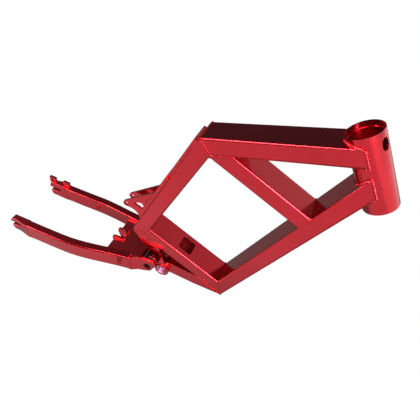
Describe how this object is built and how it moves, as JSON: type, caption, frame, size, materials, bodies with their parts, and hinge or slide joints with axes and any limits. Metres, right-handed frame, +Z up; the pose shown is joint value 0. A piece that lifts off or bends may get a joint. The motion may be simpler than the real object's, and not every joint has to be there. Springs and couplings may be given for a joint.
{
  "type": "rear suspension bike frame",
  "caption": "Welded box-tube frame for an electric bike, with a battery bay, head tube, bottom bracket, shock brackets and a hinged rear swingarm.",
  "frame": {"origin": "centre of the bottom bracket shell, on the frame's middle plane", "axes": "+X forward to the head tube, +Y to the rider's left, +Z up"},
  "size_m": [0.9922, 0.21, 0.5809],
  "materials": {
    "red_paint": "gloss candy red clear coat",
    "bare_black": "satin black",
    "axle_steel": "black oxide",
    "bush_bronze": "sintered bronze"
  },
  "bodies": {
    "frame": {"head_tube": "red_paint", "top_tube": "red_paint", "seat_tube": "red_paint", "lower_rear_tube": "red_paint", "down_tube": "red_paint", "diagonal_brace": "red_paint", "gusset_strut": "red_paint", "gusset_rail": "red_paint", "bottom_bracket_shell": "red_paint", "pivot_tube": "bare_black", "pivot_bush_right": "bush_bronze", "pivot_bush_left": "bush_bronze", "seat_back_plate": "red_paint", "shock_base_plate": "red_paint", "shock_ear_right": "red_paint", "shock_ear_left": "red_paint"},
    "swingarm": {"pivot_axle": "axle_steel", "lug_right": "red_paint", "lug_left": "red_paint", "arm_right": "red_paint", "arm_left": "red_paint", "dropout_right": "red_paint", "dropout_left": "red_paint", "brake_tab_front": "red_paint", "brake_tab_rear": "red_paint", "yoke_top_plate": "red_paint", "yoke_bottom_plate": "red_paint", "yoke_front_plate": "red_paint", "clevis_ear_right": "red_paint", "clevis_ear_left": "red_paint", "clevis_wall": "red_paint", "hose_boss": "red_paint", "guard_insert": "axle_steel"}
  },
  "joints": [
    {"name": "swingarm_pivot", "type": "hinge", "parent": "frame", "child": "swingarm", "pos_m": [-0.034, 0, 0.0227], "axis": [0, 1, 0], "range_deg": [0, 22.8]}
  ]
}
